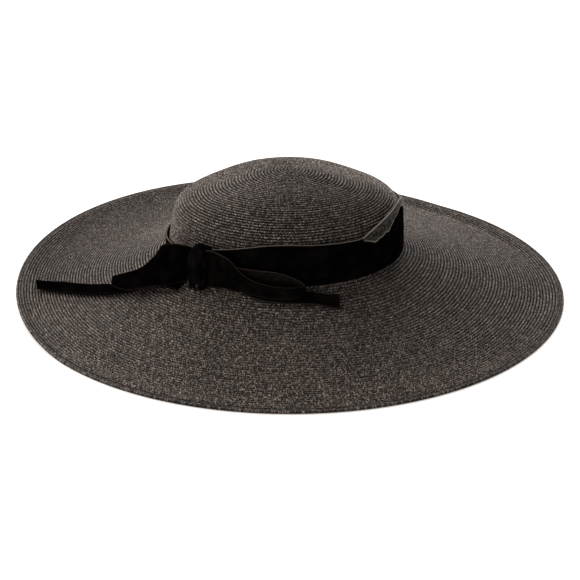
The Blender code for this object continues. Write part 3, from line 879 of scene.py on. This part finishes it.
# %% The edge
EDGE_ROUND = 480
EDGE_RIDGES = 3
EDGE_POINTS = 26
EDGE_GRIP = 0.0011
EDGE_FULLNESS = 0.6
RIDGE_CUT = 0.20
RIDGES_FROM = 0.7
RIDGE_SHARPNESS = 0.7
FIRST_RIDGE = 0.15
OUTER_FACE_SHADE_RISE = 0.5


def fuller(wave):
    """A wave of a circle, made fuller, so that the section lies between an oval and a rectangle."""
    return 0.5 * np.sign(wave) * np.abs(wave) ** EDGE_FULLNESS


edge_azimuths = np.arange(EDGE_ROUND) * 360 / EDGE_ROUND
sweep = np.linspace(0, 2 * math.pi, EDGE_POINTS, endpoint=False)
edge_across = 0.5 - fuller(np.cos(sweep))
edge_up = 0.5 + fuller(np.sin(sweep))
scallop = np.abs(np.sin(math.pi * EDGE_RIDGES * edge_across)) ** RIDGE_SHARPNESS
edge_up = edge_up - RIDGE_CUT * (1 - scallop) * (edge_up > RIDGES_FROM)
turn = np.radians(edge_azimuths)[None, :]
inset = edge_across[:, None] * (RIM_WIDTH + EDGE_GRIP)
rings = np.stack(np.broadcast_arrays(
    (BRIM_LENGTH / 2 - inset) * np.cos(turn),
    (BRIM_WIDTH / 2 - inset) * np.sin(turn),
    edge_lift(edge_azimuths)[None, :] + edge_up[:, None] * RIM_HEIGHT,
), -1)
rim_length = math.pi * (BRIM_LENGTH + BRIM_WIDTH) / 2
# V on the outer face rises with height, so the rows' painted shade makes the face darker at the bottom and
# light at the top.
ridges = np.clip(edge_across * EDGE_RIDGES, FIRST_RIDGE + OUTER_FACE_SHADE_RISE * edge_up, EDGE_RIDGES - FIRST_RIDGE)
edge = skin("edge_doubled_braid", rings, ridges, np.roll(ridges, -1), round(rim_length / PLAIT_LENGTH),
            np.arange(EDGE_ROUND + 1) / EDGE_ROUND)
edge.data.materials.append(straw_edge)
print("the edge is", round(rim_length, 3), "m round, with", len(edge.data.polygons), "faces")

# %% [markdown]
# ## Ribbon as a thin closed sheet
# The band, the loops, the tails and the knot's wrap are all one velvet ribbon. Each is laid out as a grid
# of points on its middle surface: across the ribbon and along it. One helper gives such a grid its
# thickness, rounds its two long edges, and paints the front with velvet and the back with satin.


# %% The ribbon helper
HEM_ROUNDING = 0.35


def ribbon(name, grid, wall, front, back, closed_round=False, turned=False, satin_shows=1, patches=()):
    """grid is (across, along, xyz). The front is the side that its normal points to, or away if turned.
    satin_shows says for each step along whether the back shows satin (1) or, folded under, velvet (0). A
    patch is a range of rows across and of steps along where the front shows the ribbon's back. Gives the
    piece, its length and its area."""
    normal = normals_of(grid, closed_round) * (-1 if turned else 1)
    hems = []
    for hem, beside in ((grid[0], grid[1]), (grid[-1], grid[-2])):
        out = (hem - beside) / np.linalg.norm(hem - beside, axis=-1, keepdims=True)
        hems.append((hem + out * wall * HEM_ROUNDING)[None])
    above = grid + normal * wall / 2
    below = grid - normal * wall / 2
    rings = np.concatenate([hems[0], above, hems[1], below[::-1]])
    rows = len(grid)
    across = np.linspace(0, 1, rows)
    places = np.concatenate([[0], across, [1], across[::-1]])
    points = grid[rows // 2]
    if closed_round:
        points = np.concatenate([points, points[:1]])
    along = np.concatenate([[0], np.cumsum(np.linalg.norm(np.diff(points, axis=0), axis=1))])
    is_back = np.concatenate([np.zeros(rows + 1), np.ones(rows), [0]])
    slots = is_back[:, None] * np.broadcast_to(satin_shows, len(along) - 1)
    for first_row, last_row, first_step, last_step in patches:
        slots[first_row:last_row, first_step:last_step] = 1
    piece = skin(name, rings, places, np.roll(places, -1), 1.0, along, closed_round=closed_round, slots=slots)
    piece.data.materials.append(front)
    piece.data.materials.append(back)
    cells = np.linalg.norm(np.cross(np.diff(grid, axis=0)[:, :-1], np.diff(grid, axis=1)[:-1]), axis=-1)
    length, area = float(along[-1]), float(cells.sum())
    print(name, "is", round(length, 3), "m long, area", round(area * 1e4, 1), "cm2")
    return piece, length, area


# %% [markdown]
# ## The band
# The ribbon goes once round the crown's foot. At the right it uses its whole width and its top edge rolls
# over, so that its dull reverse shows. Towards the left it is pulled down and creased, so it looks
# narrower. The creases are soft waves across the ribbon that deepen where it is lower.

# %% The band's table
BAND = (
    # azimuth, top edge, turned-over lip, both as shares of the ribbon's width
    (0, 0.93, 0.10),
    (12, 0.80, 0.08),
    (30, 0.74, 0.028),
    (60, 0.71, 0.028),
    (90, 0.70, 0.028),
    (120, 0.60, 0.028),
    (150, 0.27, 0.028),
    (180, 0.23, 0.028),
    (195, 0.27, 0.028),
    (206, 0.32, 0.028),
    (216, 0.39, 0.028),
    (228, 0.50, 0.028),
    (240, 0.595, 0.028),
    (250, 0.675, 0.028),
    (260, 0.745, 0.028),
    (270, 0.767, 0.028),
    (285, 0.748, 0.028),
    (300, 0.730, 0.028),
    (309, 0.730, 0.040),
    (315, 0.800, 0.17),
    (320, 0.850, 0.23),
    (326, 0.905, 0.21),
    (332, 0.945, 0.16),
    (339, 0.980, 0.11),
    (348, 1.000, 0.10),
)
LIP_SHOWS = (309, 376)
CREASES = (
    # azimuth and height share at one end, the same at the other, height in metres
    (309, 0.76, 293, 0.50, 0.0011),
    (296, 0.36, 272, 0.37, 0.0008),
    (330, 0.55, 318, 0.22, 0.0010),
)
CREASE_WIDTH = 0.0022
BAND_SNUG = 0.037


def band_share(up):
    """The band lies on the wall as far as BAND_SNUG, and stands straight on from there, off the shoulder."""
    step = 0.1 * BAND_SNUG
    snug = wall_share(BAND_SNUG)
    return np.where(up <= BAND_SNUG, wall_share(np.minimum(up, BAND_SNUG)),
                    snug + (snug - wall_share(BAND_SNUG - step)) / step * (up - BAND_SNUG))


print("the band's table has", len(BAND), "rows")

# %% The band's cloth
BAND_ROUND = 420
BAND_FACE = 26
BAND_LIP = 8
FOLD_STEPS = 7
FOLD_HEIGHT = 0.9
LIP_OPENING = 0.0006
LIP_FLARE = 0.12
WAVE_HEIGHT = 0.0007
WAVES_ACROSS = 2.6
WAVES_WHERE_TIGHT = 0.25
WAVES_WHERE_LOOSE = 1.6
WAVES_TAPER = 0.7
EASE_TAPER = 0.5
WAVES_SLIDE = ((2, 0.6, 1.3), (5, 2.0, 0.8))
RAGGED = ((13, 1.0, 0.07), (31, 0.0, 0.07), (67, 2.0, 0.05))


def ripple(turn, waves, middle=0.0):
    """A value that runs round the hat in waves. Each is how many go round, where it starts and its height."""
    for count, start, height in waves:
        middle = middle + height * np.sin(count * turn + start)
    return middle


band_azimuths = np.arange(BAND_ROUND) * 360 / BAND_ROUND
band_top = round_value(BAND, 1, band_azimuths) * RIBBON_WIDTH
band_lip = round_value(BAND, 2, band_azimuths) * RIBBON_WIDTH
fold = (RIBBON_SPACE + LIP_OPENING) / 2
face = np.linspace(0, 1, BAND_FACE)[:, None]
loose = 1 - band_top / RIBBON_WIDTH
turn = np.radians(band_azimuths)
phase = ripple(turn, WAVES_SLIDE)
waves = np.sin(2 * math.pi * WAVES_ACROSS * face + phase) * np.sin(math.pi * face) ** WAVES_TAPER
ease = WAVE_HEIGHT * (WAVES_WHERE_TIGHT + WAVES_WHERE_LOOSE * loose)
face_out = RIBBON_SPACE / 2 + ease * (1 + waves) * 0.5 * np.sin(math.pi * face) ** EASE_TAPER
face_up = GAP + RIBBON_WALL / 2 + (band_top - fold - GAP - RIBBON_WALL / 2) * face
arc_place = turn * mean_half
for start, start_share, end, end_share, rise in CREASES:
    a = np.array([math.radians(start) * mean_half, start_share * RIBBON_WIDTH])
    b = np.array([math.radians(end) * mean_half, end_share * RIBBON_WIDTH])
    way = (b - a) / np.linalg.norm(b - a)
    offset = np.stack(np.broadcast_arrays(arc_place - a[0], face_up - a[1]), -1)
    past = np.clip(offset @ way, 0, np.linalg.norm(b - a))
    miss = np.linalg.norm(offset - past[..., None] * way, axis=-1)
    face_out = face_out + rise * np.exp(-((miss / CREASE_WIDTH) ** 2))
bend = np.linspace(0, math.pi, FOLD_STEPS)[1:-1, None]
bend_out = RIBBON_SPACE / 2 + fold * (1 - np.cos(bend)) + 0 * band_top
bend_up = band_top - fold + fold * FOLD_HEIGHT * np.sin(bend)
down = np.linspace(0, 1, BAND_LIP)[:, None]
ragged = ripple(turn, RAGGED, 1.0)
lip_out = RIBBON_SPACE / 2 + 2 * fold + LIP_FLARE * band_lip * down
lip_up = band_top - fold - (band_lip - fold) * ragged * down
out = np.concatenate([face_out, bend_out, lip_out])
up = np.concatenate([face_up, bend_up, lip_up])
cloth = off_wall(band_azimuths[None, :], band_share(up), BAND_EASE + out, up)
shows = (band_azimuths > LIP_SHOWS[0]) | (band_azimuths < LIP_SHOWS[1] - 360)
band, band_length, _ = ribbon("band_velvet_ribbon", cloth, RIBBON_WALL, velvet_band, satin,
                              closed_round=True, satin_shows=shows)

# %% [markdown]
# ## The bow
# The bow is flat and soft: a short loop on the left, a longer one on the right that turns back on itself
# and lies against the band, and two tails that run out over the brim. A strip of ribbon is known by the
# paths of its two edges. Each row of a table gives a point of the near edge and of the far edge, measured
# from the knot: degrees round the crown, share of the free brim, and height above the straw.

# %% The bow's tables
KNOT_WIDTH = 0.018
KNOT_AZIMUTH = 230.0
LOOP_RIGHT = (
    # near edge: azimuth, place, height; far edge: azimuth, place, height
    (-4.0, 0.085, 0.10, -4.0, 0.060, 0.58),
    (-0.6, 0.092, 0.07, -0.6, 0.060, 0.68),
    (6.7, 0.072, 0.05, 9.0, 0.068, 0.62),
    (14.0, 0.077, 0.05, 15.0, 0.072, 0.40),
    (21.5, 0.105, 0.09, 21.0, 0.084, 0.30),
    (29.0, 0.122, 0.09, 29.0, 0.094, 0.25),
    (38.0, 0.118, 0.09, 38.0, 0.090, 0.22),
    (42.5, 0.070, 0.09, 42.5, 0.062, 0.18),
    (38.0, 0.032, 0.05, 39.5, 0.036, 0.23),
    (30.0, 0.024, 0.03, 31.0, 0.028, 0.34),
    (21.0, 0.022, 0.03, 21.0, 0.026, 0.36),
    (12.0, 0.022, 0.03, 12.0, 0.026, 0.37),
    (0.4, 0.045, 0.05, 0.4, 0.036, 0.45),
    (-4.0, 0.055, 0.10, -4.0, 0.045, 0.45),
)
TAIL_RIGHT = (
    (16, 0.080, 0.01, 16, 0.055, 0.01),
    (25, 0.114, 0.01, 25, 0.055, 0.01),
    (32, 0.125, 0.01, 32, 0.052, 0.01),
    (40, 0.131, 0.01, 40, 0.052, 0.01),
    (46, 0.137, 0.01, 46, 0.053, 0.01),
    (52, 0.168, 0.01, 51, 0.072, 0.01),
    (55, 0.181, 0.02, 57, 0.092, 0.02),
)
LOOP_LEFT = (
    (4.0, 0.085, 0.12, 4.0, 0.060, 0.58),
    (0.6, 0.105, 0.10, 0.6, 0.061, 0.64),
    (-2.5, 0.160, 0.11, -7.5, 0.064, 0.60),
    (-5.0, 0.205, 0.12, -16.0, 0.064, 0.50),
    (-10.5, 0.270, 0.13, -23.0, 0.074, 0.38),
    (-14.0, 0.330, 0.13, -24.3, 0.125, 0.23),
    (-17.5, 0.390, 0.13, -25.0, 0.225, 0.145),
    (-24.0, 0.425, 0.12, -28.6, 0.385, 0.145),
    (-23.0, 0.415, 0.085, -27.9, 0.375, 0.088),
    (-17.0, 0.370, 0.085, -24.5, 0.240, 0.080),
    (-13.0, 0.310, 0.085, -22.0, 0.150, 0.080),
    (-6.0, 0.200, 0.085, -15.0, 0.090, 0.10),
    (-0.4, 0.120, 0.080, -3.0, 0.055, 0.14),
    (4.0, 0.085, 0.080, 3.0, 0.055, 0.20),
)
TAIL_LEFT = (
    (-1.5, 0.170, 0.01, -1.5, 0.095, 0.01),
    (-8.0, 0.180, 0.01, -12.0, 0.120, 0.01),
    (-13.5, 0.215, 0.01, -18.0, 0.160, 0.01),
    (-15.0, 0.285, 0.01, -22.0, 0.260, 0.01),
    (-19.5, 0.395, 0.01, -26.0, 0.370, 0.01),
    (-24.5, 0.498, 0.01, -30.5, 0.464, 0.01),
    (-32.5, 0.684, 0.01, -38.5, 0.676, 0.01),
    (-36.0, 0.790, 0.01, -41.0, 0.788, 0.01),
    (-38.5, 0.896, 0.02, -42.5, 0.900, 0.02),
)
print("rows in the bow's tables:", [len(table) for table in (LOOP_RIGHT, TAIL_RIGHT, LOOP_LEFT, TAIL_LEFT)])

# %% Places over the brim
BAND_ROOM = BAND_EASE + RIBBON_SPACE
FREE_WIDTH = (BRIM_LENGTH - CROWN_LENGTH) / 2 - RIM_WIDTH - BAND_EASE - RIBBON_SPACE
knot_turn = math.radians(KNOT_AZIMUTH)
knot_pace = math.hypot(CROWN_LENGTH / 2 * math.sin(knot_turn), CROWN_WIDTH / 2 * math.cos(knot_turn))


def over_brim(azimuth, place, height):
    """Points straight over the brim. The place is 0 at the band's face and 1 at the rim."""
    start = BAND_ROOM / (FREE_WIDTH + BAND_ROOM)
    return brim_point(azimuth, start + (1 - start) * place, height)


def knot_side(side):
    """Azimuth of the knot's side towards the front right (1) or the back left (-1)."""
    return KNOT_AZIMUTH + side * math.degrees((KNOT_WIDTH / 2 + GAP) / knot_pace)


print("the knot lies between", round(knot_side(-1), 1), "and", round(knot_side(1), 1), "degrees")

# %% Strips of ribbon
STRIP_STEPS = 12


def strip_grid(table, side, space, across):
    """Points between a strip's two edges, across + 1 of them."""
    knots = np.arange(len(table))
    at = np.linspace(0, len(table) - 1, (len(table) - 1) * STRIP_STEPS + 1)
    columns = [through(knots, [line[k] for line in table], at) for k in range(6)]
    lift = GAP + space / 2
    near, far = (
        over_brim(knot_side(side) + azimuth, place, lift + height * RIBBON_WIDTH)
        for azimuth, place, height in (columns[:3], columns[3:])
    )
    share = np.linspace(0, 1, across + 1)[:, None, None]
    return near[None] * (1 - share) + far[None] * share


strips = [
    ribbon(name, strip_grid(table, side, layers * RIBBON_SPACE, across), layers * RIBBON_WALL, front, back,
           turned=side < 0)
    for name, table, side, layers, across, front, back in (
        ("bow_loop_right_ribbon", LOOP_RIGHT, 1, 1, 14, velvet_right_lit, satin_shaded_inside),
        ("bow_loop_left_ribbon", LOOP_LEFT, -1, 1, 14, velvet_left_shaded, satin_shaded_inside),
        ("tail_right_ribbon", TAIL_RIGHT, 1, 2, 12, velvet_right_lit, satin),
        ("tail_left_ribbon", TAIL_LEFT, -1, 2, 12, velvet_left_shaded, satin),
    )
]
right_loop, left_loop, right_tail, left_tail = strips

# %% [markdown]
# ## The knot's wrap
# What looks like a knot is a short piece of the ribbon, gathered into pleats and wrapped over the middle
# of the bow. It is a sheet too: it comes up from under the bow, over the front and back over the top,
# pressed to the band behind.

# %% The knot
KNOT_DEPTH = 0.018
KNOT_HEIGHT = 0.033
KNOT_TAPER = 0.35
KNOT_FILL = 0.95
WRAP_STEPS = 60
WRAP_ACROSS = 48
WRAP_END = 176
WRAP_SQUARENESS = 5
HEMS_DRAWN_IN = 0.22
DRAWN_IN_POWER = 4
PLEATS = 4
PLEAT_DEPTH = 0.0010
PLEAT_START = 0.7
PLEAT_SWAY = 0.12
SWAY_PACE = 2.2
SWAY_START = 0.5
REVERSE_SHOWS = ((6, 13, 20, 24), (28, 33, 20, 24))

wrap = np.radians(np.linspace(-WRAP_END, WRAP_END, WRAP_STEPS))[None, :]
width = np.linspace(-1, 1, WRAP_ACROSS)[:, None]
drawn_in = 1 - HEMS_DRAWN_IN * np.abs(width) ** DRAWN_IN_POWER
sway = PLEAT_SWAY * np.sin(SWAY_PACE * wrap + SWAY_START)
pleat = np.cos(2 * math.pi * PLEATS / 2 * (width + sway) + PLEAT_START)
size = np.abs(np.cos(wrap)) ** WRAP_SQUARENESS + np.abs(np.sin(wrap)) ** WRAP_SQUARENESS
size = size ** (-1 / WRAP_SQUARENESS)
out_part = size * np.cos(wrap) * drawn_in
rise = (1 + size * np.sin(wrap) * drawn_in) / 2
depth = KNOT_DEPTH * (1 - KNOT_TAPER * rise) - PLEAT_DEPTH
pleated = PLEAT_DEPTH * (pleat - 1) * 0.5 * np.clip(out_part, 0, 1)
radial = RIBBON_WALL + depth * (1 + out_part) / 2 + pleated
height = GAP + RIBBON_WALL + (KNOT_HEIGHT - 2 * RIBBON_WALL) * rise
half_turn = math.degrees(KNOT_WIDTH / 2 / knot_pace)
azimuth = KNOT_AZIMUTH + half_turn * width * KNOT_FILL + 0 * wrap
wrap_grid = over_brim(azimuth, radial / FREE_WIDTH, height)
knot = ribbon("bow_knot_wrap", wrap_grid, RIBBON_WALL, velvet_knot_lit, satin, turned=True, patches=REVERSE_SHOWS)

# %% [markdown]
# ## Tying the pieces to the frame
# Each piece rides on the hat's one body and stands for its CAD node, which is hidden. For the bow's parts
# the width that the folded ribbon shows is printed, as area over length.

# %% Ride and replace
for piece, node, slot_name in (
    (crown, "crown", "crown_straw"),
    (brim, "brim", "brim_straw"),
    (edge, "brim_edge", "edge_straw"),
    (band, "ribbon_band", "band_velvet"),
    (knot[0], "bow_knot", "bow_velvet"),
    (left_loop[0], "bow_loop_left", "bow_velvet"),
    (right_loop[0], "bow_loop_right", "bow_velvet"),
    (left_tail[0], "tail_left", "bow_velvet"),
    (right_tail[0], "tail_right", "bow_velvet"),
):
    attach(piece, "root")
    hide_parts(node)

for piece, length, area in (left_loop, right_loop, left_tail, right_tail, knot):
    print(piece.name, "width", round(area / length * 1000, 1), "mm")
